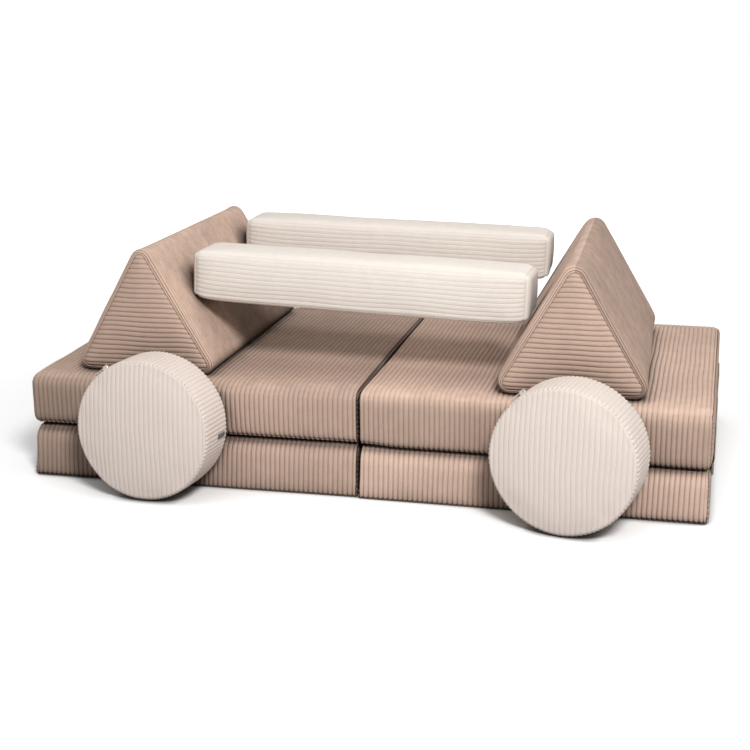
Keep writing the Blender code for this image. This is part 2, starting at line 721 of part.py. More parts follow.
sofa = add_empty("sofa_frame", None, Matrix())
left_origin = add_empty("left_mattress", sofa, Matrix.Translation((-PAD_WIDTH / 2, PAD_DEPTH / 2, 0)))
left_frames, left_skins = build_mattress("left", -1, left_origin)

right_corner = Matrix.Translation((DROP_START / 2, -RIGHT_SET_FORWARD, 0)) @ Matrix.Rotation(RIGHT_YAW, 4, "Z")
right_start = right_corner @ Matrix.Translation((PAD_WIDTH / 2, PAD_DEPTH / 2, 0))
right_origin = add_empty("right_mattress", sofa, right_start)
right_frames, right_skins = build_mattress("right", 1, right_origin)

# The right mattress is pushed against the left one
apart = []
for level in ("lower", "upper"):
    neighbour = Placed(hull_of(left_skins[level]), world_matrix(left_frames[level]))
    mover = Placed(hull_of(right_skins[level]), world_matrix(right_frames[level]))
    apart.append(free_travel(mover, neighbour, -AXIS_X))
right_origin.matrix_basis = Matrix.Translation(-AXIS_X * (min(apart) - SEAT_GAP)) @ right_start

left_pads = {level: Placed(left_skins[level], world_matrix(frame)) for level, frame in left_frames.items()}
right_pads = {level: Placed(right_skins[level], world_matrix(frame)) for level, frame in right_frames.items()}
left_upper = left_frames["upper"]
right_upper = right_frames["upper"]
left_prism = build_prism("left_prism", left_upper, -LEFT_PRISM_FROM_SEAM, LEFT_PRISM_SETBACK, LEFT_PRISM_YAW,
                         left_pads["upper"])
right_prism = build_prism("right_prism", right_upper, RIGHT_PRISM_FROM_SEAM, RIGHT_PRISM_SETBACK, RIGHT_PRISM_YAW,
                          right_pads["upper"])
build_bar("front_bar", left_upper, FRONT_BAR_SETBACK, FRONT_BAR_YAW, FRONT_BAR_TILT, left_prism, right_prism)
build_bar("rear_bar", left_upper, REAR_BAR_SETBACK, REAR_BAR_YAW, REAR_BAR_TILT, left_prism, right_prism)
left_disc = build_disc("left_disc", left_upper, -LEFT_DISC_FROM_SEAM, LEFT_DISC_YAW, LEFT_DISC_LEAN,
                       left_pads.values())
build_disc("right_disc", right_upper, RIGHT_DISC_FROM_SEAM, RIGHT_DISC_YAW, RIGHT_DISC_LEAN, right_pads.values())
add_tab(left_disc)
settle_on_origin(sofa)
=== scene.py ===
"""Modular foam play sofa: ribbed corduroy covers on foam blocks, set up as a sofa."""
from collections import namedtuple
from copy import copy
from math import pi, radians, sqrt

import bmesh
import bpy
import numpy as np
from mathutils import Euler, Matrix, Vector
from mathutils.kdtree import KDTree


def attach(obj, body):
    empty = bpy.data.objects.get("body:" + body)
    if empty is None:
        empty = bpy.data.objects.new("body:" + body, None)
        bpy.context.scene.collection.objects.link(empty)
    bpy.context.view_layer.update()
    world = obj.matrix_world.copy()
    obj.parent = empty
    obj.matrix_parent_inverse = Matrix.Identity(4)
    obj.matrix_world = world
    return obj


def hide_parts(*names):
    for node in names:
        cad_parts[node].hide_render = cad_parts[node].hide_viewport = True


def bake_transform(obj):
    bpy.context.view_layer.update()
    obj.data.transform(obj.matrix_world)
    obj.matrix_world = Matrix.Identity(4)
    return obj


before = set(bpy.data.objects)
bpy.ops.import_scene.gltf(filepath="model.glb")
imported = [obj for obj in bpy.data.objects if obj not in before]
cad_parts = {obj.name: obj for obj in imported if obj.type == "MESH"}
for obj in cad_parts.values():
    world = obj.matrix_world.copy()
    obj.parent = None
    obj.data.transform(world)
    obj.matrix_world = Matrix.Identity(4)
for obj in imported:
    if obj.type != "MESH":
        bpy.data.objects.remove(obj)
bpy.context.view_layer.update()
scene = bpy.context.scene

MM = 0.001


def mm(*values):
    return tuple(value * MM for value in values)


# Where each module's own axes lie: place in metres, turn in degrees. The right prism, the bars and
# the discs lie 1 to 5 mm from their solids, as loose modules do
PLACES = {
    "lower_left": ((-0.30629, 0.06720, 0.04625), (0, 0, 0)),
    "upper_left": ((-0.30629, 0.06720, 0.13915), (0, 0, 0)),
    "lower_right": ((0.30045, 0.05689, 0.04625), (0, 0, -1.2)),
    "upper_right": ((0.30045, 0.05689, 0.13915), (0, 0, -1.2)),
    "left_prism": ((-0.39929, 0.06220, 0.18780), (0, 0, -0.9)),
    "right_prism": ((0.34871, 0.04420, 0.18780), (0, 0, 0.2)),
    "front_bar": ((-0.02971, -0.08780, 0.34320), (0, 1.6, -2.7)),
    "rear_bar": ((-0.03427, 0.24420, 0.34835), (0, 1.8, 0.6)),
    "left_disc": ((-0.35729, -0.29011, 0.12344), (-2.6, 0, -4.8)),
    "right_disc": ((0.35671, -0.31341, 0.12292), (-1.6, 0, -11)),
    "left_fold": ((-0.60689, 0.06720, 0.09270), (0, 0, 0)),
    "right_fold": ((0.60099, 0.05059, 0.09270), (0, 0, -1.2)),
}

# Module sizes
PAD_HALF = mm(298, 305, 46.25)
BAR_HALF = mm(303, 49.5, 46)
PRISM_SIDE = 280 * MM
PRISM_HALF_LENGTH = 262 * MM
DISC_RADIUS = 122 * MM
DISC_HALF = 43.5 * MM

# Pads: what the radii gain at the outer end, there also below, and how deep the hanging lip is
OUTER_ROUND = mm(8, 7, 1.5)
OUTER_LOW_ROUND = 5 * MM
LIP_DEPTH = 22 * MM

# How far a prism's sleeve turns onto its ends
PRISM_HEM = 7 * MM

# Fold strips: half their width, and where they start and end along the pads
FOLD_REACH = 29 * MM
FOLD_FRONTS = {"left": -257 * MM, "right": -270 * MM}
FOLD_BACK = 282 * MM

# Corduroy: its ribs, the reach of its seams, and rows of points near a seam, a fold and a ridge
RIB_PITCH = 8.6 * MM
PRISM_RIB_PITCH = 7.4 * MM
RIM_RIB_PITCH = 7.6 * MM
FOLD_RIB_PITCH = 8.3 * MM
RIB_DEPTH = 2.1 * MM
RIB_STEPS = (0, 0.07, 0.17, 0.31, 0.5, 0.69, 0.83, 0.93)
SEAM_REACH = 3.6 * MM
SEAM_ROWS = mm(0, 0.6, 1.5, 3, 5, 8, 11.5, 15)
FOLD_ROWS = mm(0, 2, 4.5, 7.5, 11, 15)
RIDGE_ROWS = FOLD_ROWS + mm(20, 25, 31, 38, 46)

# Painted light and shade: how light a pad's top and front are, and how much darker its bend is, and how
# light a prism's left and right slope are; then how light the other panels are
PAD_PAINTED_SHADING = {
    "lower_left": (0.9, 1.0, 0.3),
    "upper_left": (0.9, 0.865, 0.07),
    "lower_right": (1.16, 1.17, 0.3),
    "upper_right": (1.16, 0.81, 0.07),
}
SLOPE_PAINTED_SHADING = {"left_prism": (1.08, 1.08), "right_prism": (1.04, 0.75)}
PAD_END_TONE = 0.87
PRISM_END_TONE = 0.91
BAR_TONE = 0.95
# Painted light on the bars' tops
BAR_TOP_PAINTED_LIGHT = 0.06
DISC_TONE = 0.91
RIM_TONE = 0.94

# Foam inside the covers
FOAM_INSET = 6.5 * MM
FOAM_CELL = 9 * MM

# Zips, and half the gap between two strips of cloth along a zip and along a seam
PAD_ZIP = 500 * MM
PRISM_ZIP = 146 * MM
PRISM_ZIP_HEIGHT = 38 * MM
DISC_ZIP = 10 / 32 * 2 * pi * DISC_RADIUS
COIL_PITCH = 1.8 * MM
SLOT_HALF = 4.6 * MM
SLOT_END = 8 * MM
SEAM_GAP = 0.5 * MM


def place_of(name):
    at, turn = PLACES[name]
    return Matrix.LocRotScale(at, Euler([radians(angle) for angle in turn]), None)


def stacked(*parts):
    return np.stack(parts, axis=-1)


def grid_of(rows, columns):
    return np.meshgrid(rows, columns, indexing="ij")


def lengths_of(ways):
    return np.linalg.norm(ways, axis=-1, keepdims=True)


# ---- smooth noise

def ripples(seed, places, length, height, count=7):
    """Smooth noise: a sum of waves of about a length and up to about a height, both in mm."""
    rng = np.random.default_rng(seed)
    total = np.zeros(places.shape[:-1])
    for _ in range(count):
        way = rng.normal(size=places.shape[-1])
        way *= 2 * pi / (length * rng.uniform(0.6, 1.6)) / np.linalg.norm(way)
        total += np.sin(places / MM @ way + rng.uniform(0, 2 * pi))
    return total / sqrt(count) * height * MM


def ease(value):
    value = np.clip(value, 0, 1)
    return value * value * (3 - 2 * value)


def bell(distance, width):
    """1 at no distance, falling to 0 over a width in mm."""
    return np.exp(-(distance / (width * MM))**2)


def toward_end(place):
    """0 up to the middle of -1 to 1, then rising to 1 well before the end."""
    return ease(1.6 * place)


# ---- rounded solids

def rounded(sharp, core, radii):
    """Points of a sharp surface put on an ellipsoid's reach round its core, with their normals."""
    way = (sharp - core) / radii
    way /= lengths_of(way)
    normals = way / radii
    return core + radii * way, normals / lengths_of(normals)


class Block:
    """A rounded box. Its lay() puts points of the sharp box's surface on the rounded one.

    left, right, front, back: how far a side's seams pull in midway, and how far it bulges
    crown: how far the top bulges
    fold, hem: what the depth's and height's radii gain at the front's upper and lower edge
    outer: the side (-1 or 1) on which the outer end is, which is rounder
    shift, fill: how far the outer and the inner end stand out, at the front and at the back
    lift, foot: how far the lower edge rises at the ends and stands out at the front
    droop: how far the front's lip hangs, on its left and on its right"""
    left = right = front = back = fold = hem = shift = fill = droop = (0, 0)
    crown = outer = lift = foot = 0

    def __init__(self, half, radii, **form):
        self.half = np.array(half)
        self.radii = np.array(radii)
        for name, value in form.items():
            setattr(self, name, value)

    def lay(self, sharp):
        u, v, w = np.moveaxis(sharp / self.half, -1, 0)
        below = ease(-w)
        at_outer = toward_end(u * self.outer)
        radii = self.radii + at_outer[..., None] * OUTER_ROUND
        radii[..., 2] += OUTER_LOW_ROUND * at_outer * below
        radii[..., 1:] += (toward_end(-v) * ease(1 + w))[..., None] * self.fold
        radii[..., 1:] += (toward_end(-v) * below)[..., None] * self.hem
        inner = self.half - radii
        placed, normals = rounded(sharp, np.clip(sharp, -inner, inner), radii)
        return placed + self.form(sharp), normals

    def form(self, sharp):
        u, v, w = np.moveaxis(np.clip(sharp / self.half, -1, 1), -1, 0)
        lower = (1 - w) / 2
        out = np.zeros_like(sharp)
        for axis, low, high, along, other in (
                (0, self.left, self.right, u, v), (1, self.front, self.back, v, u)):
            draw, bulge = (np.where(along > 0, high[i], low[i]) for i in (0, 1))
            out[..., axis] = along * (bulge * (1 - w**2) * (1 - other**6) - draw * (1 - other**2))
        shift, fill = (np.interp(v, (-1, 1), pair) for pair in (self.shift, self.fill))
        out[..., 0] += np.where(u * self.outer > 0, shift, fill) * u
        out[..., 1] -= self.foot * toward_end(-v) * lower
        out[..., 2] = np.where(w > 0, w * self.crown * (1 - u**4) * (1 - v**4), 0)
        out[..., 2] += self.lift * u**8 * lower
        lip = ease(1 - (1 + v) * self.half[1] / LIP_DEPTH) * lower
        first, last = self.droop
        out[..., 2] -= lip * (first * ease((u + 1) / 0.25) + (last - first) * ease(u))
        return out

    def shape(self):
        bm = bmesh.new()
        bmesh.ops.create_cube(bm, size=2)
        bmesh.ops.scale(bm, vec=self.half, verts=bm.verts)
        for axis in range(3):
            cut_near_ends(bm, axis, -self.half[axis], self.half[axis], self.radii[axis])
        return bm


class Wedge:
    """A rounded prism on an equilateral triangle, lying along Y on its base."""

    def __init__(self, side, half, radius, end_radius, end_crown):
        self.side = side
        self.height = side * sqrt(3) / 2
        self.half = half
        self.radii = np.array((radius, end_radius, radius))
        self.end_crown = end_crown
        reach = side / 2 - radius * sqrt(3)
        self.inner = np.array([(-reach, radius), (reach, radius), (0, self.height - 2 * radius)])

    def inside_of(self, flat):
        """The nearest places in the triangle that is set in by the radius, and how deep inside
        the rounded outline each point lies."""
        best = flat.copy()
        gap = np.full(flat.shape[:-1], np.inf)
        outside = np.zeros(flat.shape[:-1], bool)
        for i in range(3):
            start, end = self.inner[i], self.inner[(i + 1) % 3]
            line = end - start
            off = flat - start
            outside |= line[0] * off[..., 1] - line[1] * off[..., 0] < 0
            along = np.clip(off @ line / (line @ line), 0, 1)
            foot = start + along[..., None] * line
            distance = np.linalg.norm(flat - foot, axis=-1)
            nearer = distance < gap
            best = np.where(nearer[..., None], foot, best)
            gap = np.where(nearer, distance, gap)
        depth = self.radii[0] - np.where(outside, gap, -gap)
        return np.where(outside[..., None], best, flat), depth

    def outline(self, flat, inset):
        """Points of the triangle's sides put on its rounded outline, set in by some depth."""
        core, _ = self.inside_of(flat)
        away = flat - core
        return core + away / lengths_of(away) * (self.radii[0] - inset)[..., None]

    def reach_at(self, levels, inset):
        """Half the width of the outline, set in by some depth, at each level."""
        widths = np.linspace(0, self.side / 2, 1200)
        flat = stacked(*np.meshgrid(widths, levels))
        return np.where(self.inside_of(flat)[1] >= inset, widths, 0).max(axis=1)

    def lay(self, sharp):
        core = sharp.copy()
        core[..., [0, 2]], depth = self.inside_of(sharp[..., [0, 2]])
        inner = self.half - self.radii[1]
        core[..., 1] = np.clip(sharp[..., 1], -inner, inner)
        placed, normals = rounded(sharp, core, self.radii)
        inset = np.clip((depth - self.radii[0] / 2) / (self.side / 6), 0, 1)
        at_end = abs(sharp[..., 1]) > self.half - 1e-6
        crown = self.end_crown * (1 - (1 - inset)**2) * np.sign(sharp[..., 1])
        placed[..., 1] += np.where(at_end, crown, 0)
        return placed, normals

    def shape(self):
        bm = bmesh.new()
        corners = ((-self.side / 2, 0), (self.side / 2, 0), (0, self.height))
        ends = (-self.half, self.half)
        rings = [[bm.verts.new((x, y, z)) for x, z in corners] for y in ends]
        bm.faces.new(rings[0])
        bm.faces.new(rings[1][::-1])
        for i in range(3):
            j = (i + 1) % 3
            bm.faces.new((rings[0][j], rings[0][i], rings[1][i], rings[1][j]))
        cut_near_ends(bm, 1, *ends, self.radii[1])
        cut_near_ends(bm, 2, 0, self.height, 2 * self.radii[2])
        cut_near_ends(bm, 0, -self.side / 2, self.side / 2, 2 * self.radii[0])
        return bm


class Drum:
    """A rounded disc, lying along Y."""

    def __init__(self, radius, half, edge, crown):
        self.size = radius
        self.half = half
        self.radii = np.full(3, edge)
        self.crown = crown

    def lay(self, sharp):
        across = np.hypot(sharp[..., 0], sharp[..., 2])
        ratio = np.minimum(across, self.size - self.radii[0]) / np.maximum(across, 1e-9)
        core = sharp.copy()
        core[..., [0, 2]] *= ratio[..., None]
        limit = self.half - self.radii[1]
        core[..., 1] = np.clip(sharp[..., 1], -limit, limit)
        placed, normals = rounded(sharp, core, self.radii)
        flat = np.clip(1 - (across / self.size)**2, 0, 1)
        placed[..., 1] += np.sign(sharp[..., 1]) * self.crown * flat * (abs(sharp[..., 1]) > limit)
        return placed, normals

    def shape(self):
        bm = bmesh.new()
        turn = Matrix.Rotation(pi / 2, 4, "X")
        bmesh.ops.create_cone(bm, cap_ends=True, segments=96, radius1=self.size, radius2=self.size,
                              depth=2 * self.half, matrix=turn)
        cut_near_ends(bm, 1, -self.half, self.half, self.radii[1])
        cut_near_ends(bm, 0, -self.size, self.size, self.radii[0])
        return bm


def cut_near_ends(bm, axis, low, high, reach):
    """Grid lines across an axis, close together where the surface is rounded."""
    normal = Vector([float(i == axis) for i in range(3)])
    near = [reach * share for share in (0.25, 0.55, 1)]
    count = max(2, round((high - low - 2 * reach) / (50 * MM)))
    middle = [low + reach + (high - low - 2 * reach) * i / count for i in range(1, count)]
    for place in [low + step for step in near] + middle + [high - step for step in near]:
        bmesh.ops.bisect_plane(bm, geom=bm.verts[:] + bm.edges[:] + bm.faces[:], plane_co=normal * place,
                               plane_no=normal)


def points_of(verts):
    return np.array([vert.co for vert in verts])


def closed_mesh(solid, inset):
    """The whole solid as one closed mesh, set in from its surface."""
    bm = solid.shape()
    placed, normals = solid.lay(points_of(bm.verts))
    for vert, point in zip(bm.verts, placed - normals * inset):
        vert.co = point
    bmesh.ops.recalc_face_normals(bm, faces=bm.faces)
    mesh = bpy.data.meshes.new("solid")
    bm.to_mesh(mesh)
    bm.free()
    return mesh


# ---- swelling of the covers

def new_object(name, mesh):
    thing = bpy.data.objects.new(name, mesh)
    scene.collection.objects.link(thing)
    return thing


def shown_mesh(thing):
    graph = bpy.context.evaluated_depsgraph_get()
    return bpy.data.meshes.new_from_object(thing.evaluated_get(graph))


def remeshed(mesh, cell):
    thing = new_object("remesh", mesh)
    modifier = thing.modifiers.new("remesh", "REMESH")
    modifier.mode = "VOXEL"
    modifier.voxel_size = cell
    fine = shown_mesh(thing)
    bpy.data.objects.remove(thing)
    return fine


SWELL_FRAMES = 20
SWELL_INSET = 1.5 * MM
SWELL_CLOTH = {"quality": 4, "mass": 0.25, "tension_stiffness": 20, "compression_stiffness": 20,
               "shear_stiffness": 8, "bending_stiffness": 0.6, "use_pressure": True,
               "uniform_pressure_force": 4}


def swollen(solids):
    """Blows each closed cover up a little as cloth; gives its points and how far each one moved."""
    things = {}
    for name, (solid, cell) in solids.items():
        mesh = remeshed(closed_mesh(solid, SWELL_INSET), cell)
        thing = new_object(f"{name}_swell", mesh)
        cloth = thing.modifiers.new("cloth", "CLOTH")
        for setting, value in SWELL_CLOTH.items():
            setattr(cloth.settings, setting, value)
        cloth.settings.effector_weights.gravity = 0
        cloth.point_cache.frame_end = SWELL_FRAMES
        things[name] = (thing, points_of(mesh.vertices))
    for number in range(1, SWELL_FRAMES + 1):
        scene.frame_set(number)
    moves = {name: (start, points_of(shown_mesh(thing).vertices) - start)
             for name, (thing, start) in things.items()}
    for thing, _ in things.values():
        bpy.data.objects.remove(thing)
    scene.frame_set(1)
    return moves


SWELL_SHARE = 0.3
SLIP_LIMIT = 1.4 * MM
LONG_WAVE = 190
SHORT_WAVE = 75
SHORT_WAVE_SHARE = 0.45


class Give:
    """How far a stuffed cover departs from its pattern: its swelling, and slow ripples.
    Room is how far it may stand out on -X, +X, -Y, +Y, -Z and +Z, and slack how far in."""

    def __init__(self, seed, room, slack, ripple, moves=None):
        self.seed = seed
        self.room, self.slack = np.array((room, slack)).reshape(2, 3, 2) * MM
        self.ripple = ripple
        self.tree = None
        if moves:
            start, self.moves = moves
            self.tree = KDTree(len(start))
            for i, point in enumerate(start):
                self.tree.insert(point, i)
            self.tree.balance()

    def swell(self, places):
        out = np.zeros_like(places)
        if self.tree is None:
            return out
        for row, place in enumerate(places):
            found = self.tree.find_n(place, 7)
            weights = np.array([1 / (distance**2 + 1e-5) for _, _, distance in found])
            out[row] = weights @ self.moves[[index for _, index, _ in found]] / weights.sum()
        return out

    def shift(self, placed, normals, row_stride, column_stride):
        """The move of each point of a grid, worked out on a coarser grid."""
        rows, row_parts = sparse(placed.shape[0], row_stride)
        columns, column_parts = sparse(placed.shape[1], column_stride)
        coarse = placed[np.ix_(rows, columns)]
        swell = self.swell(coarse.reshape(-1, 3)).reshape(coarse.shape)
        swell = spread(spread(swell, row_parts, 0), column_parts, 1)
        square = normals**2
        side = (normals > 0).astype(int)
        room = (square * self.room[[0, 1, 2], side]).sum(-1)
        slack = (square * self.slack[[0, 1, 2], side]).sum(-1)
        outward = (swell * normals).sum(-1)
        sideways = swell - outward[..., None] * normals
        total = SWELL_SHARE * outward + ripples(self.seed, placed, LONG_WAVE, self.ripple)
        total += ripples(self.seed + 50, placed, SHORT_WAVE, SHORT_WAVE_SHARE * self.ripple)
        limit = np.where(total > 0, room, slack) + 1e-7
        total = limit * np.tanh(total / limit)
        free = np.clip((room + slack) / (3 * MM), 0, 1)
        length = lengths_of(sideways) + 1e-9
        cap = SLIP_LIMIT * free[..., None]
        return total[..., None] * normals + sideways / length * cap * np.tanh(0.5 * length / (cap + 1e-7))


def sparse(count, stride):
    """Every so many of the places, with the last, and where each place lies between them."""
    chosen = np.unique(np.append(np.arange(0, count, stride), count - 1))
    places = np.arange(count)
    before = np.clip(np.searchsorted(chosen, places, side="right") - 1, 0, max(len(chosen) - 2, 0))
    after = np.minimum(before + 1, len(chosen) - 1)
    gap = np.maximum(chosen[after] - chosen[before], 1)
    return chosen, (before, after, (places - chosen[before]) / gap)


def spread(values, parts, axis):
    before, after, share = parts
    shape = [1] * values.ndim
    shape[axis] = len(share)
    share = share.reshape(shape)
    return np.take(values, before, axis) * (1 - share) + np.take(values, after, axis) * share


# ---- cloth panels

def rib_places(low, high, pitch=RIB_PITCH):
    """Places across the ribs between two seams, with each one's share of its rib."""
    count = max(1, round((high - low) / pitch))
    pitch = (high - low) / count
    shares = np.array([rib + step for rib in range(count) for step in RIB_STEPS] + [count])
    return low + shares * pitch, shares


def rib_height(shares):
    """The rounded wale: 0 in the groove, 1 on the crown."""
    return np.clip(1 - abs(2 * (shares % 1) - 1)**2.4, 0, 1)**0.75


def row_places(low, high, step, low_rows=SEAM_ROWS, high_rows=SEAM_ROWS):
    """Places along the ribs, close together where the cloth bends."""
    first = [low + row for row in low_rows]
    last = [high - row for row in reversed(high_rows)]
    count = max(1, round((last[0] - first[-1]) / step))
    middle = [first[-1] + (last[0] - first[-1]) * i / count for i in range(1, count)]
    return np.array(first + middle + last)


class Cover:
    """The sewn cloth panels of one module, gathered into one mesh."""

    def __init__(self, module, solid, style, seed, give):
        self.module, self.solid, self.style, self.seed, self.give = module, solid, style, seed, give
        self.points, self.faces, self.count = [], [], 0
        self.values = {"wale": [], "tone": [], "brush": []}

    def add(self, sharp, shares, border, ribs=1, paint=1, tone=1, brush=0.3, dark=None, wrap=False,
            flip=False):
        """One panel: a grid of sharp points, their rib shares and their distances to the seams.
        Ribs is how high its ribs are, paint how much of that shows in the colour as painted rib shade, tone
        how light the panel is with its painted light and shade, brush how patchy, and dark how dark the
        painted seam shade is."""
        placed, normals = self.solid.lay(sharp)
        strides = (len(RIB_STEPS), 1) if len(shares) > 1 else (1, len(RIB_STEPS))
        placed = placed + self.give.shift(placed, normals, *strides)
        height = rib_height(shares)
        ends = ease(border / self.style.rib_end)
        dip = ease(1 - border / SEAM_REACH)
        sink = RIB_DEPTH * ribs * (1 - height) * ends + self.style.seam * dip
        placed = placed - normals * sink[..., None]
        index = numbered(sharp) + self.count
        if wrap:
            index = np.concatenate([index, index[:1]])
        quads = grid_quads(index)
        self.points.append(placed.reshape(-1, 3))
        self.faces.append(quads[:, ::-1] if flip else quads)
        # Painted shade: darker in the grooves, and darker still in the seams' dips
        groove = 1 - height * ends - (1 - ends) * self.style.light_ends
        wale = 1 - groove * ribs * paint - dip * (self.style.dark if dark is None else dark)
        for label, values in zip(self.values, (wale, tone, brush)):
            self.values[label].append(np.broadcast_to(values, wale.shape).ravel())
        self.count += wale.size

    def mesh(self):
        values = {label: np.concatenate(parts) for label, parts in self.values.items()}
        return mesh_of(np.concatenate(self.points), np.concatenate(self.faces), **values)


def numbered(grid):
    rows, columns = grid.shape[:2]
    return np.arange(rows * columns).reshape(rows, columns)


def grid_quads(index):
    """The quads between the rows and columns of a grid of point numbers."""
    return stacked(index[:-1, :-1], index[1:, :-1], index[1:, 1:], index[:-1, 1:]).reshape(-1, 4)


def mesh_of(points, quads, **attributes):
    mesh = bpy.data.meshes.new("panels")
    mesh.vertices.add(len(points))
    mesh.vertices.foreach_set("co", points.astype(np.float32).ravel())
    mesh.loops.add(quads.size)
    mesh.loops.foreach_set("vertex_index", quads.astype(np.int32).ravel())
    mesh.polygons.add(len(quads))
    mesh.polygons.foreach_set("loop_start", np.arange(0, quads.size, quads.shape[1], dtype=np.int32))
    for label, values in attributes.items():
        mesh.attributes.new(label, "FLOAT", "POINT").data.foreach_set("value", values.astype(np.float32))
    mesh.update(calc_edges=True)
    mesh.validate()
    mesh.shade_smooth()
    return mesh


def dress(mesh, material):
    mesh.materials.clear()
    mesh.materials.append(material)


def add_piece(name, mesh, material, nodes, at, body=None):
    mesh.name = name
    mesh.transform(at)
    dress(mesh, material)
    piece = new_object(name, mesh)
    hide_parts(*nodes)
    if body:
        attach(piece, body)
    return piece


def faces_on(axis, side, half, first, second):
    """A grid on one face of a sharp box. The first places run down the rows."""
    parts = list(grid_of(first, second))
    parts.insert(axis, np.full_like(parts[0], side * half[axis]))
    return stacked(*parts)


def slot_half(along, half_length):
    """Half the height of the gap between two strips of cloth, open where the zip is."""
    return SEAM_GAP + (SLOT_HALF - SEAM_GAP) * ease((half_length - abs(along)) / SLOT_END)


def strip_places(near_slot, half):
    """Shares of the way from a zip's slot to the seam, close together at both."""
    return row_places(0, 1, 0.2, near_slot, [row / half for row in SEAM_ROWS[:-1]])


def marks_of(corners):
    """How far along their path the corners lie."""
    return np.concatenate([[0], np.cumsum(np.linalg.norm(np.diff(corners, axis=0), axis=1))])


def on_path(corners, run):
    """Both coordinates of the places at some distances along the path through the corners."""
    return [np.interp(run, marks_of(corners), column) for column in np.transpose(corners)]


def add_flat(cover, axis, side, half, first, second, shares, **looks):
    """A flat panel on one face of a sharp box."""
    grid = faces_on(axis, side, half, first, second)
    border = np.min([half[i] - abs(grid[..., i]) for i in range(3) if i != axis], axis=0)
    cover.add(grid, shares, border, **looks)


def pad_panels(cover):
    a, b, c = PAD_HALF
    across, shares = rib_places(-a, a)

    # Top and front in one piece of cloth
    step = 13 * MM if "upper" in cover.module else 40 * MM
    depths = row_places(-b, b, step, FOLD_ROWS)[::-1]
    heights = row_places(-c, c, 9 * MM, high_rows=FOLD_ROWS)[::-1][1:]
    top = faces_on(2, 1, PAD_HALF, across, depths)
    front = faces_on(1, -1, PAD_HALF, across, heights)
    sharp = np.concatenate([top, front], axis=1)
    to_end = a - abs(sharp[..., 0])
    to_hem = np.concatenate([b - top[..., 1], front[..., 2] + c], axis=1)
    border = np.minimum(to_end, to_hem)
    sharp[..., 0] += ripples(cover.seed, sharp, 160, 0.6) * ease(to_end / (30 * MM))

    # The pile is brushed behind the bend, with flatter, patchier ribs and a slight painted sheen. Painted
    # shade darkens the bend and the front, and a painted shadow the far left of the left pads' fronts. The
    # ribs stand out at the hem
    down = c - sharp[..., 2] - sharp[..., 1] - b
    brushed = bell(abs(down) - 30 * MM, 34) * (sharp[..., 1] > -b)
    at_bend = bell(down, 13)
    at_front = ease((down + 16 * MM) / (44 * MM))
    at_hem = bell(border, 5) * (np.arange(sharp.shape[1]) >= len(depths))
    top_tone, front_tone, bend_shade = PAD_PAINTED_SHADING[cover.module]
    tone = top_tone + (front_tone - top_tone) * at_front + 0.02 * brushed - bend_shade * at_bend
    # Painted shadow on the far left of the left pads' fronts
    if "left" in cover.module:
        tone = tone * (1 - 0.3 * at_front * ease((-sharp[..., 0] / a - 0.35) / 0.5))
    cover.add(sharp, shares[:, None], border, ribs=0.74 - 0.25 * brushed + 0.5 * at_hem, paint=0.5,
              tone=tone, brush=0.35 + 0.4 * brushed, dark=np.where(to_end < to_hem, 0.4, 1.3), flip=True)

    # Bottom
    add_flat(cover, 2, -1, PAD_HALF, across, row_places(-b, b, 30 * MM), shares[:, None], flip=True)

    # Back, in two strips with the zip's slot between them
    xs, share = grid_of(across, strip_places((0, 0.012, 0.03, 0.065, 0.11), c))
    opening = slot_half(xs, PAD_ZIP / 2)
    for side in (-1, 1):
        zs = side * (opening + (c - opening) * share)
        back = stacked(xs, np.full_like(xs, b), zs)
        border = np.minimum(np.minimum(a - abs(xs), c - abs(zs)), abs(zs) - opening)
        cover.add(back, shares[:, None], border, flip=side < 0)

    # Ends, with ribs that run level
    levels, end_shares = rib_places(-c, c)
    for side in (-1, 1):
        add_flat(cover, 0, side, PAD_HALF, row_places(-b, b, 14 * MM), levels, end_shares[None, :],
                 tone=PAD_END_TONE, flip=side > 0)


def bar_panels(cover):
    a, b, c = BAR_HALF
    lengths = row_places(-a, a, 12 * MM)

    # A sleeve round the bar: ribs along its length, open at the back for the zip
    total = 4 * (b + c)
    path, shares = rib_places(0, total)
    start = slot_half(lengths, PAD_ZIP / 2)
    run = start + (total - 2 * start) * path[:, None] / total
    y, z = on_path([(b, 0), (b, c), (-b, c), (-b, -c), (b, -c), (b, 0)], run)
    along = np.broadcast_to(lengths, run.shape)
    sharp = stacked(along, y, z)
    wave = ripples(cover.seed, stacked(along, run), 150, 1)
    in_front = (y < 0) & (abs(z) < c - 1e-6)
    sharp[..., 2] += np.where(in_front, wave * ease((c - abs(z)) / (16 * MM)), 0)
    border = np.minimum(a - abs(along), np.minimum(run - start, total - start - run))
    # The top of the sleeve is painted lighter, a painted light from above
    cover.add(sharp, shares[:, None], border, ribs=0.33, paint=0.5,
              tone=BAR_TONE + BAR_TOP_PAINTED_LIGHT * (z > c - 1e-6), brush=0.6)

    # Plain ends
    ys, zs = row_places(-b, b, 9 * MM), row_places(-c, c, 9 * MM)
    for side in (-1, 1):
        add_flat(cover, 0, side, BAR_HALF, ys, zs, np.full((1, len(zs)), 0.5), ribs=0, flip=side > 0)


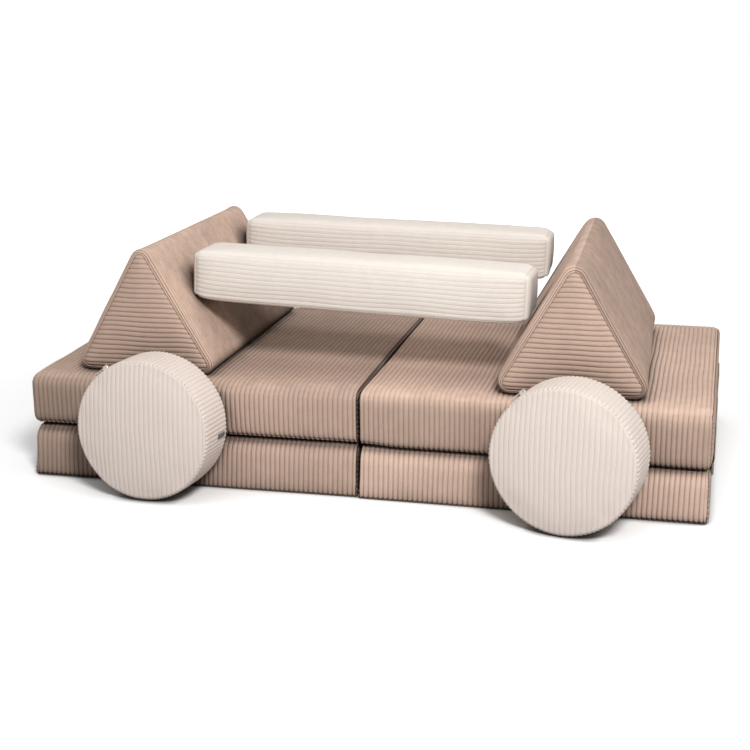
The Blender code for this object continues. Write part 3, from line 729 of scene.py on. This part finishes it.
def prism_panels(cover):
    solid = cover.solid
    length, side, corner = solid.half, solid.side, solid.height

    # A sleeve round the prism, its ribs running over the ridge and down both slopes.
    # Its ends turn a little onto the ends of the prism
    corners = [(0, 0), (side / 2, 0), (0, corner), (-side / 2, 0), (0, 0)]
    marks = marks_of(corners)
    path = np.concatenate([row_places(first, last, 14 * MM, RIDGE_ROWS, RIDGE_ROWS)[:-1]
                           for first, last in zip(marks, marks[1:])])
    lengths, shares = rib_places(-length, length, PRISM_RIB_PITCH)
    hem = np.array((0.12, 0.28, 0.46, 0.64, 0.8, 0.92, 1))
    lengths = np.concatenate([-length - hem[::-1] * PRISM_HEM, lengths, length + hem * PRISM_HEM])
    shares = np.concatenate([-hem[::-1], shares, hem])
    run, along = grid_of(path, lengths)
    flat = stacked(*on_path(corners, run))
    flat = solid.outline(flat, np.clip(abs(along) - length, 0, None))
    wave = ripples(cover.seed, stacked(along, run), 130, 1.2)
    level = np.clip(along, -length, length) + wave * ease((length - abs(along)) / (30 * MM))
    sharp = stacked(flat[..., 0], level, flat[..., 1])
    near_end = bell(length - abs(along), 17)

    # The left prism's right slope is shaded under the bars, the right one's left slope light midway
    x, height = sharp[..., 0], sharp[..., 2] / corner
    left_tone, right_tone = SLOPE_PAINTED_SHADING[cover.module]
    tone = np.where(x > 0, right_tone, left_tone)
    if "left" in cover.module:
        below = ease((0.62 - height) / 0.16) * ease((level + 135 * MM) / (85 * MM))
        tone = tone * (1 - 0.6 * below * (x > 0))
    else:
        midway = ease((height - 0.36) / 0.2) * ease((0.95 - height) / 0.1)
        tone = tone * (1 + 0.12 * midway * (x < 0))
    border = length + PRISM_HEM - abs(along)
    cover.add(sharp, shares[None, :], border, ribs=0.42 + 0.5 * near_end, tone=tone,
              brush=1 - 0.6 * near_end, wrap=True, flip=True)

    # Ends, with level ribs; the back one is parted by the zip
    low, high = PRISM_HEM, corner - solid.radii[0] - PRISM_HEM
    share = np.array([0, .6, 1.6, 3.2, 6, 10, 15, 21, 28, 35, 42, 50]) / 100
    share = np.concatenate([share, 1 - share[-2::-1]])
    for way in (-1, 1):
        bands = [(low, high)] if way < 0 else [(low, PRISM_ZIP_HEIGHT), (PRISM_ZIP_HEIGHT, high)]
        for first, last in bands:
            levels, end_shares = rib_places(first, last)
            levels = np.clip(levels, low + 0.05 * MM, high - 0.05 * MM)
            reach = solid.reach_at(levels, PRISM_HEM)
            x = (2 * share - 1) * reach[:, None]
            level = np.broadcast_to(levels[:, None], x.shape)
            end = stacked(x, np.full_like(x, way * length), level)
            border = solid.inside_of(end[..., [0, 2]])[1] - PRISM_HEM
            if way > 0:
                from_zip = abs(level - PRISM_ZIP_HEIGHT)
                opening = slot_half(x, PRISM_ZIP / 2) * ease(1 - from_zip / (30 * MM))
                end[..., 2] += opening if first > low else -opening
                border = np.minimum(border, from_zip)
            end[..., 2] += ripples(cover.seed + way, end, 110, 0.7) * ease(border / (22 * MM))
            cover.add(end, end_shares[:, None], border, ribs=0.7, paint=0.65, tone=PRISM_END_TONE,
                      flip=way < 0)


def disc_panels(cover):
    radius, half = cover.solid.size, cover.solid.half

    # Rim, with ribs that run across it, in two strips that part round the zip
    turn, shares = rib_places(0, 2 * pi * radius, RIM_RIB_PITCH)
    turn, shares = turn[:-1] / radius, shares[:-1]
    angle, share = grid_of(turn, strip_places((0, 0.02, 0.05, 0.1), half))
    opening = SLOT_HALF * ease((DISC_ZIP / 2 - abs(angle - pi) * radius) / SLOT_END)
    depth = opening + (half - opening) * share
    border = np.minimum(half - depth, np.where(opening > 0, depth - opening, np.inf))
    ribs = 0.5 + 0.8 * bell(half - depth, 6)
    for side in (-1, 1):
        sharp = stacked(radius * np.cos(angle), side * depth, radius * np.sin(angle))
        cover.add(sharp, shares[:, None], border, ribs, paint=0.3, tone=RIM_TONE, wrap=True, flip=side < 0)

    # Faces, with upright ribs
    across, face_shares = rib_places(-radius, radius)
    across = np.clip(across, -radius + 0.3 * MM, radius - 0.3 * MM)
    column, part = grid_of(across, -np.cos(np.linspace(0, pi, 36)))
    z = part * np.sqrt(radius**2 - column**2)
    for side in (-1, 1):
        face = stacked(column, np.full_like(z, side * half), z)
        border = radius - np.hypot(column, z)
        face[..., 0] += ripples(cover.seed + side, face, 90, 0.6) * ease(border / (20 * MM))
        cover.add(face, face_shares[:, None], border, ribs=0.38, paint=0.55, tone=DISC_TONE, flip=side > 0)


# ---- zips, folds and tab

def swept(along, section):
    """Points and quads of a closed tube along X, from the Y and Z of each point of its section."""
    rings = np.zeros((len(along), len(section), 3))
    rings[..., 0] = along[:, None]
    for i, (y, z) in enumerate(section):
        rings[:, i, 1], rings[:, i, 2] = y, z
    index = numbered(rings)
    quads = [grid_quads(np.concatenate([index, index[:, :1]], axis=1))[:, [0, 3, 2, 1]]]
    for row, order in ((index[0], -1), (index[-1], 1)):
        back = row[::-1]
        caps = stacked(row[:-1], row[1:], back[1:], back[:-1])[:len(row) // 2 - 1]
        quads.append(caps[:, ::order])
    return rings.reshape(-1, 3), np.concatenate(quads)


def zip_mesh(length, laid):
    """Tape and coil of a zip. laid() puts places along, across and above the cover into the module."""
    along = np.linspace(-length / 2 + MM, length / 2 - MM, int(length / COIL_PITCH) * 3)
    coil = []
    for across, up, bump, turn in (
            (-2.7, -2.9, 0, 0), (-2.7, 0.2, 0.5, 0), (-1.6, 0.9, 1, 0), (-0.4, 0.8, 1, 0), (0, 0.3, 0, 0),
            (0.4, 0.8, 1, pi), (1.6, 0.9, 1, pi), (2.7, 0.2, 0.5, pi), (2.7, -2.9, 0, 0), (0, -2.9, 0, 0)):
        wave = bump * np.sin(along / COIL_PITCH * 2 * pi + turn)
        coil.append((across * MM * (1 + 0.08 * wave), (up + 0.45 * wave) * MM))
    points, quads = swept(along, coil)
    stretch = np.linspace(-length / 2 - 9 * MM, length / 2 + 9 * MM, int(length / (6 * MM)))
    widths = np.linspace(-13 * MM, 13 * MM, 9)
    tape = [(width, -2.8 * MM) for width in widths] + [(width, -3.5 * MM) for width in widths[::-1]]
    tape_points, tape_quads = swept(stretch, tape)
    points, quads = np.concatenate([points, tape_points]), np.concatenate([quads, tape_quads + len(points)])
    return outward(mesh_of(laid(points), quads))


def outward(mesh):
    bm = bmesh.new()
    bm.from_mesh(mesh)
    bmesh.ops.recalc_face_normals(bm, faces=bm.faces)
    bm.to_mesh(mesh)
    bm.free()
    return mesh


def back_zip(y, z):
    return lambda p: stacked(-p[:, 0], y + p[:, 2], z + p[:, 1])


def rim_zip(points):
    angle = pi + points[:, 0] / DISC_RADIUS
    ring = DISC_RADIUS + points[:, 2]
    return stacked(ring * np.cos(angle), -points[:, 1], ring * np.sin(angle))


def sheet_mesh(grid, normals, thickness, **attributes):
    """A closed sheet of cloth from a grid of its outer points."""
    under = grid - normals * thickness
    index = numbered(grid)
    low = index + index.size
    quads = [grid_quads(index), grid_quads(low)[:, [0, 3, 2, 1]]]
    for edge, deep in ((index[0], low[0]), (index[-1][::-1], low[-1][::-1]),
                       (index[::-1, 0], low[::-1, 0]), (index[:, -1], low[:, -1])):
        quads.append(stacked(edge[:-1], edge[1:], deep[1:], deep[:-1]))
    points = np.concatenate([grid.reshape(-1, 3), under.reshape(-1, 3)])
    doubled = {label: np.tile(values.ravel(), 2) for label, values in attributes.items()}
    return outward(mesh_of(points, np.concatenate(quads), **doubled))


def fold_mesh(side, front, lower, upper):
    """The strip of cover cloth that joins two pads at their outer ends, in the fold's own axes.
    Lower and upper are how far the pads' ends stand out, at the front and at the back."""
    levels, shares = rib_places(-FOLD_REACH, FOLD_REACH, FOLD_RIB_PITCH)
    end_rows = mm(0, 1.5, 4, 8)
    depths = row_places(front, FOLD_BACK, 12 * MM, end_rows, end_rows)
    depth, level = grid_of(depths, levels)

    # It lies deepest between the pads, and curls in round their rounded corners
    into = 1.8 * MM + 2.2 * MM * bell(level, 5)
    turned = np.clip(1 - (PAD_HALF[1] - abs(depth)) / (17 * MM), 0, 1)
    into = into + 15 * MM * (1 - np.sqrt(1 - turned**2))
    low, high = (np.interp(depth / PAD_HALF[1], (-1, 1), shift) for shift in (lower, upper))
    out = low + (high - low) * ease(0.5 + level / (30 * MM))

    # Its four corners are rounded
    from_end = np.minimum(depth - front, FOLD_BACK - depth)
    near = 1 - np.clip(from_end / (30 * MM), 0, 1)
    corner = 22 * MM * (1 - np.sqrt(1 - near**2))
    level = level * (1 - corner / FOLD_REACH)

    height = rib_height(shares)
    edge = ease(np.minimum(from_end, FOLD_REACH - abs(level) - corner) / (3 * MM))
    sink = 1.5 * MM * (1 - height) * edge + 1.2 * MM * (1 - edge)
    wave = ripples(40 + side, stacked(depth, level), 120, 0.35) * edge
    x = side * (out + 0.6 * MM - into - sink - wave)
    return sheet_mesh(stacked(x, depth, level), np.array([side, 0, 0]), 0.9 * MM,
                      wale=np.broadcast_to(height, level.shape) * (0.3 + 0.7 * edge),
                      tone=np.full(level.shape, PAD_END_TONE), brush=np.full(level.shape, 0.3))


def tab_mesh():
    """A blank woven tab that follows the disc's rim."""
    along = np.linspace(-4 * MM, 4 * MM, 25)
    depths = np.linspace(4.25 * MM, 30.25 * MM, 79)
    step, depth = grid_of(along, depths)
    thread = 0.62 * MM
    weave = 0.12 * MM * np.sin(step / thread * pi) * np.sin(depth / thread * pi)
    hem = 0.35 * MM * (abs(abs(step) - 3.4 * MM) < 0.35 * MM)
    angle = radians(-5.625) + step / DISC_RADIUS
    ring = DISC_RADIUS + 0.5 * MM + weave - hem
    grid = stacked(ring * np.cos(angle), depth, ring * np.sin(angle))
    normals = stacked(np.cos(angle), np.zeros_like(angle), np.sin(angle))
    return sheet_mesh(grid, normals, 0.8 * MM)


# ---- materials

class Graph:
    """A node tree, with short ways to add nodes to it and link them."""

    def __init__(self, tree):
        self.nodes, self.links = tree.nodes, tree.links

    def feed(self, node, inputs):
        """Sets a node's inputs, or links them where they are given as sockets."""
        for name, value in inputs.items():
            if isinstance(value, bpy.types.NodeSocket):
                self.links.new(value, node.inputs[name])
            else:
                node.inputs[name].default_value = value

    def add(self, kind, inputs, **settings):
        node = self.nodes.new(f"ShaderNode{kind}")
        for name, value in settings.items():
            setattr(node, name, value)
        self.feed(node, inputs)
        return node.outputs

    def place(self):
        return self.add("TexCoord", {})["Object"]

    def attribute(self, name):
        return self.add("Attribute", {}, attribute_name=name)["Fac"]

    def noise(self, source, scale, detail, roughness=0.5):
        return self.add("TexNoise", {"Vector": source, "Scale": scale, "Detail": detail,
                                     "Roughness": roughness})["Fac"]

    def ranged(self, source, low, high, start=0.25, end=0.75):
        return self.add("MapRange", {"Value": source, "From Min": start, "From Max": end,
                                     "To Min": low, "To Max": high})["Result"]

    def math(self, operation, *values):
        return self.add("Math", dict(enumerate(values)), operation=operation)["Value"]

    def times(self, first, *others):
        for other in others:
            first = self.math("MULTIPLY", first, other)
        return first

    def scaled(self, colour, level):
        return self.add("VectorMath", {0: colour, "Scale": level}, operation="SCALE")["Vector"]

    def ramp(self, source, stops):
        node = self.nodes.new("ShaderNodeValToRGB")
        elements = node.color_ramp.elements
        while len(elements) < len(stops):
            elements.new(0.5)
        for element, (position, colour) in zip(elements, stops):
            element.position = position
            element.color = (*colour, 1)
        self.feed(node, {"Fac": source})
        return node.outputs["Color"]

    def bump(self, height, strength, distance):
        return self.add("Bump", {"Height": height, "Strength": strength, "Distance": distance})["Normal"]

    def shelter(self, reach, dark, closed=0.08, clear=0.8):
        """How open a place lies: 1 in the open, down to dark in gaps and under other things. Multiplied
        into a colour, it paints shade there.
        """
        openness = self.add("AmbientOcclusion", {"Distance": reach}, samples=6)["AO"]
        return self.ranged(openness, dark, 1, closed, clear)

    def seen_direct(self):
        """1 for what the camera sees straight, in a mirror or through glass, otherwise 0."""
        path = self.add("LightPath", {})
        seen = self.math("MAXIMUM", path["Is Camera Ray"], path["Is Glossy Ray"])
        return self.math("MAXIMUM", seen, path["Is Transmission Ray"])


def new_material(name):
    material = bpy.data.materials.new(name)
    material.use_nodes = True
    return material, Graph(material.node_tree), material.node_tree.nodes["Principled BSDF"]


def corduroy(name, colours, mottle, sheen, dark):
    """Pile cloth: light crowns of wales, with painted shade on their flanks, deeper in the grooves and
    deepest in the seams; fine nap and brushed patches. Dark is how dark the painted shade gets in gaps and
    under other things."""
    material, graph, shader = new_material(name)
    place = graph.place()
    wale = graph.ranged(graph.attribute("wale"), 0, 1, -1, 1)
    colour = graph.ramp(wale, tuple(zip((0.12, 0.5, 0.78, 1.0), colours)))
    nap = graph.noise(place, 700, 4, 0.65)
    tone = graph.ranged(graph.noise(place, 7, 2), 1 - mottle, 1 + mottle)
    fine = graph.ranged(nap, 0.92, 1.08)
    patches = graph.ranged(graph.noise(place, 42, 6, 0.66), -2.6 * mottle, 2.6 * mottle)
    lifted = graph.math("ADD", graph.times(patches, graph.attribute("brush")), 1)
    # Its level: random tone, brushed patches and nap, the tone attribute's painted light and shade, and
    # painted shade in gaps and under other things
    level = graph.times(tone, lifted, fine, graph.attribute("tone"), graph.shelter(0.032, dark),
                        graph.shelter(0.2, 0.3 + 0.7 * dark))
    graph.feed(shader, {
        "Base Color": graph.scaled(colour, level), "Normal": graph.bump(nap, 0.4, 0.0006),
        "Roughness": 0.95, "Specular IOR Level": 0.12, "Sheen Weight": sheen, "Sheen Roughness": 0.5})
    return material


def plain_material(name, colour, roughness, metallic=0.0, scale=1500, bump_depth=0.0003):
    """A colour with a fine grain."""
    material, graph, shader = new_material(name)
    grain = graph.noise(graph.place(), scale, 3)
    shades = ((0.3, [value * 0.8 for value in colour]), (0.7, colour))
    graph.feed(shader, {
        "Base Color": graph.ramp(grain, shades), "Normal": graph.bump(grain, 0.3, bump_depth),
        "Roughness": roughness, "Metallic": metallic})
    return material


# Each cloth's seam, groove, flank and crown colours: its own colour on the crowns, painted shade below
BROWN = corduroy("brown_corduroy_cloth", (
    (0.05, 0.035, 0.028), (0.27, 0.185, 0.142), (0.47, 0.333, 0.262), (0.62, 0.447, 0.358)),
    0.08, 0.06, 0.12)
CREAM = corduroy("cream_corduroy_cloth", (
    (0.34, 0.29, 0.25), (0.66, 0.585, 0.525), (0.77, 0.695, 0.63), (0.84, 0.766, 0.7)), 0.02, 0.04, 0.7)
ROSE_CREAM = corduroy("rose_cream_corduroy_cloth", (
    (0.34, 0.275, 0.235), (0.66, 0.565, 0.505), (0.77, 0.665, 0.6), (0.84, 0.73, 0.663)), 0.02, 0.04, 0.7)
FOAM = plain_material("foam_block", (0.86, 0.84, 0.74), 0.95, scale=900)
ZIPS = {
    "brown": plain_material("brown_zip_tape", (0.26, 0.18, 0.145), 0.7),
    "cream": plain_material("cream_zip_tape", (0.66, 0.60, 0.54), 0.7),
}
METALS = {
    "brown": plain_material("brown_zip_metal", (0.40, 0.29, 0.235), 0.38, 0.5, 1800, 0.0001),
    "cream": plain_material("cream_zip_metal", (0.72, 0.655, 0.6), 0.4, 0.3, 1800, 0.0001),
}
TAB = plain_material("woven_tab_cloth", (0.16, 0.15, 0.145), 0.85, scale=2200)


# ---- modules

def pad(outer, **form):
    """The solid of a pad whose fold is on the outer side, -1 or 1."""
    sewn = {"left" if outer > 0 else "right": mm(1.5, 1.5)}
    form.update(outer=outer, front=mm(0, 2.5), fill=mm(2.108, 8.308), **sewn)
    return Block(PAD_HALF, mm(4, 10, 9), **form)


def prism(radius):
    return Wedge(PRISM_SIDE, PRISM_HALF_LENGTH, radius, 14 * MM, 4 * MM)


LOWER = {"hem": mm(-7, -6), "foot": 11 * MM}
UPPER = {"hem": mm(5, 6), "fold": mm(10, 8), "crown": 2 * MM}
BAR = Block(BAR_HALF, mm(22, 17, 15), left=mm(0, 2), right=mm(0, 2), front=mm(2, 3), crown=3 * MM,
            hem=mm(-9, -7), lift=8 * MM)
DISC = Drum(DISC_RADIUS, DISC_HALF, 4 * MM, 5 * MM)
SOLIDS = {
    "lower_left": pad(-1, shift=mm(5.5, 5.5), fold=mm(18, 14), **LOWER),
    "upper_left": pad(-1, shift=mm(7.5, 8.5), **UPPER),
    "lower_right": pad(1, shift=mm(-10, -8), fold=mm(24, 20), **LOWER),
    "upper_right": pad(1, shift=mm(-9, -5.5), droop=mm(4.5, 9), **UPPER),
    "left_prism": prism(20 * MM),
    "right_prism": prism(22 * MM),
    "front_bar": BAR,
    "rear_bar": BAR,
    "left_disc": DISC,
    "right_disc": DISC,
}

# How a kind of module is covered. zipper: the zip's length and its way onto the cover; room, slack,
# ripple: as in Give; seam, dark: how deep the seams are and how dark their painted shade is; rib_end: how
# far from a seam the ribs end, and whether they end in the grooves' painted shade or light; cell: of the
# cloth that is swollen
Style = namedtuple("Style", "panels cloth zipper room slack ripple seam dark rib_end light_ends cell",
                   defaults=(1.2 * MM, False, 9 * MM))
PAD_STYLE = Style(pad_panels, BROWN, (PAD_ZIP, back_zip(PAD_HALF[1], 0)), (0.3, 0.3, 1.2, 2, 0, 1),
                  (1.2, 1.2, 2, 2, 0, 1.4), 0.8, 1.8 * MM, 1.2, cell=12 * MM)
STYLES = {
    "lower": PAD_STYLE._replace(ripple=0.7),
    "upper": PAD_STYLE,
    "prism": Style(prism_panels, BROWN, (PRISM_ZIP, back_zip(PRISM_HALF_LENGTH, PRISM_ZIP_HEIGHT)),
                   (1, 1, 3, 0.5, 0, 1.5), (1.5, 1.5, 2, 2, 0, 2), 0.9, 0.9 * MM, 0.3),
    "bar": Style(bar_panels, CREAM, (PAD_ZIP, back_zip(BAR_HALF[1], 0)), (0.5, 0.5, 2.5, 1, 1, 2.5),
                 (2, 2, 2.5, 1, 1, 2.5), 0.5, 0.7 * MM, 0.12, 7 * MM, True),
    "disc": Style(disc_panels, ROSE_CREAM, (DISC_ZIP, rim_zip), (0.6, 0.6, 3, 3, 0.2, 0.6),
                  (1, 1, 2, 2, 0.4, 1), 0.8, 0.7 * MM, 0.3, 0.7 * MM),
}


def style_of(module):
    first, second = module.split("_")
    return STYLES[first if first in STYLES else second]


def foam_form(solid):
    """The form that a foam block is set in from: its cover's, but with no end that stands out."""
    form = copy(solid)
    if isinstance(form, Block):
        form.shift = np.minimum(form.shift, 0)
    return form


moves = swollen(
    {module: (solid, style_of(module).cell) for module, solid in SOLIDS.items()})

for seed, (module, solid) in enumerate(SOLIDS.items(), 1):
    style = style_of(module)
    shade = "brown" if style.cloth == BROWN else "cream"
    at = place_of(module)
    give = Give(seed, style.room, style.slack, style.ripple, moves.get(module))
    cover = Cover(module, solid, style, seed, give)
    style.panels(cover)
    foam = remeshed(closed_mesh(foam_form(solid), FOAM_INSET), FOAM_CELL)
    foam.shade_smooth()
    for part, mesh, material, node, slot, fill in (
            ("corduroy", cover.mesh(), style.cloth, "cover", f"{shade}_corduroy", 0.9),
            ("foam_block", foam, FOAM, "foam", "foam", 1.0),
            ("zip_chain", zip_mesh(*style.zipper), ZIPS[shade], "zipper", f"{shade}_zip", None)):
        add_piece(f"{module}_{part}", mesh, material, [f"{module}_{node}"], at, module)
    for metal_node in (f"{module}_zip_slider", f"{module}_zip_pull"):
        dress(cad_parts[metal_node].data, METALS[shade])

for name, side in (("left", -1), ("right", 1)):
    at = place_of(f"{name}_fold")
    lower, upper = f"lower_{name}", f"upper_{name}"
    mesh = fold_mesh(side, FOLD_FRONTS[name], SOLIDS[lower].shift, SOLIDS[upper].shift)
    flaps = [f"{name}_fold_lower_flap", f"{name}_fold_upper_flap"]
    strip = add_piece(f"{name}_fold_strip", mesh, BROWN, flaps, at)
    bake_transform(strip)

add_piece("left_disc_woven_tab", tab_mesh(), TAB, ["left_disc_tab"],
          place_of("left_disc"), "left_disc")


# ---- camera, floor and light

CAMERA_PLACE = (0.5171, -2.4112, 0.8486)
CAMERA_PAN = 0.2256
CAMERA_TILT = -0.2752
CAMERA_ROLL = -0.0112
CAMERA_SHIFT = (0.0048, -0.0008)
FOCAL_PIXELS = 1381.5
IMAGE_PIXELS = 750


def add_camera():
    data = bpy.data.cameras.new("camera")
    data.lens = data.sensor_width * FOCAL_PIXELS / IMAGE_PIXELS
    data.shift_x, data.shift_y = CAMERA_SHIFT
    camera = new_object("camera", data)
    turned = Matrix.Translation(CAMERA_PLACE)
    for angle, axis in ((CAMERA_PAN, "Z"), (pi / 2 + CAMERA_TILT, "X"), (CAMERA_ROLL, "Z")):
        turned = turned @ Matrix.Rotation(angle, 4, axis)
    camera.matrix_world = turned
    scene.camera = camera


def add_floor():
    """Pale paper: white to the camera, save where it lies in shadow or sheltered; close under things it is
    painted darker, a painted contact shadow.
    """
    size = 14
    corners = [(-size, -size, 0), (size, -size, 0), (size, size, 0), (-size, size, 0)]
    mesh = bpy.data.meshes.new("floor")
    mesh.from_pydata(corners, [], [(0, 1, 2, 3)])
    floor = new_object("floor", mesh)
    material, graph, shader = new_material("floor_paper")
    seen = graph.seen_direct()
    colour = graph.add("Mix", {"A": (0.55, 0.55, 0.55, 1), "B": (0.93, 0.93, 0.93, 1), "Factor": seen},
                       data_type="RGBA")["Result"]
    # A painted contact shadow: the colour darkens where the floor lies sheltered
    graph.feed(shader, {"Base Color": graph.scaled(colour, graph.shelter(0.02, 0.3, 0.3)),
                        "Roughness": 1, "Specular IOR Level": 0})
    distance = graph.add("VectorMath", {0: graph.place()}, operation="LENGTH")["Value"]
    far = graph.ranged(distance, 0.0, 0.9, 0.8, 2.6)
    open_floor = graph.shelter(0.16, 0, 0.26, 0.62)
    near = graph.times(open_floor, open_floor)
    lift = graph.math("MULTIPLY_ADD", near, 0.3, far)
    glow = graph.add("Emission", {"Strength": graph.times(lift, seen)})["Emission"]
    total = graph.add("AddShader", {0: shader.outputs["BSDF"], 1: glow})["Shader"]
    graph.feed(graph.nodes["Material Output"], {"Surface": total})
    mesh.materials.append(material)


def add_lights():
    world = bpy.data.worlds.new("studio")
    scene.world = world
    world.use_nodes = True
    graph = Graph(world.node_tree)
    graph.feed(graph.nodes["Background"], {
        "Color": (1, 1, 1, 1), "Strength": graph.ranged(graph.seen_direct(), 0.23, 1.0, 0, 1)})
    for name, place, target, size, power in (
            ("key", (1.16, -2.47, 2.45), (0, 0, 0.15), 0.85, 106),
            ("overhead", (0.1, 0.1, 2.7), (0, 0, 0), 2.4, 9)):
        data = bpy.data.lights.new(name, "AREA")
        data.shape = "DISK"
        data.size = size
        data.energy = power
        light = new_object(name, data)
        light.location = place
        light.rotation_euler = (Vector(target) - Vector(place)).to_track_quat("-Z", "Y").to_euler()


add_camera()
add_floor()
add_lights()
scene.view_settings.view_transform = "Standard"
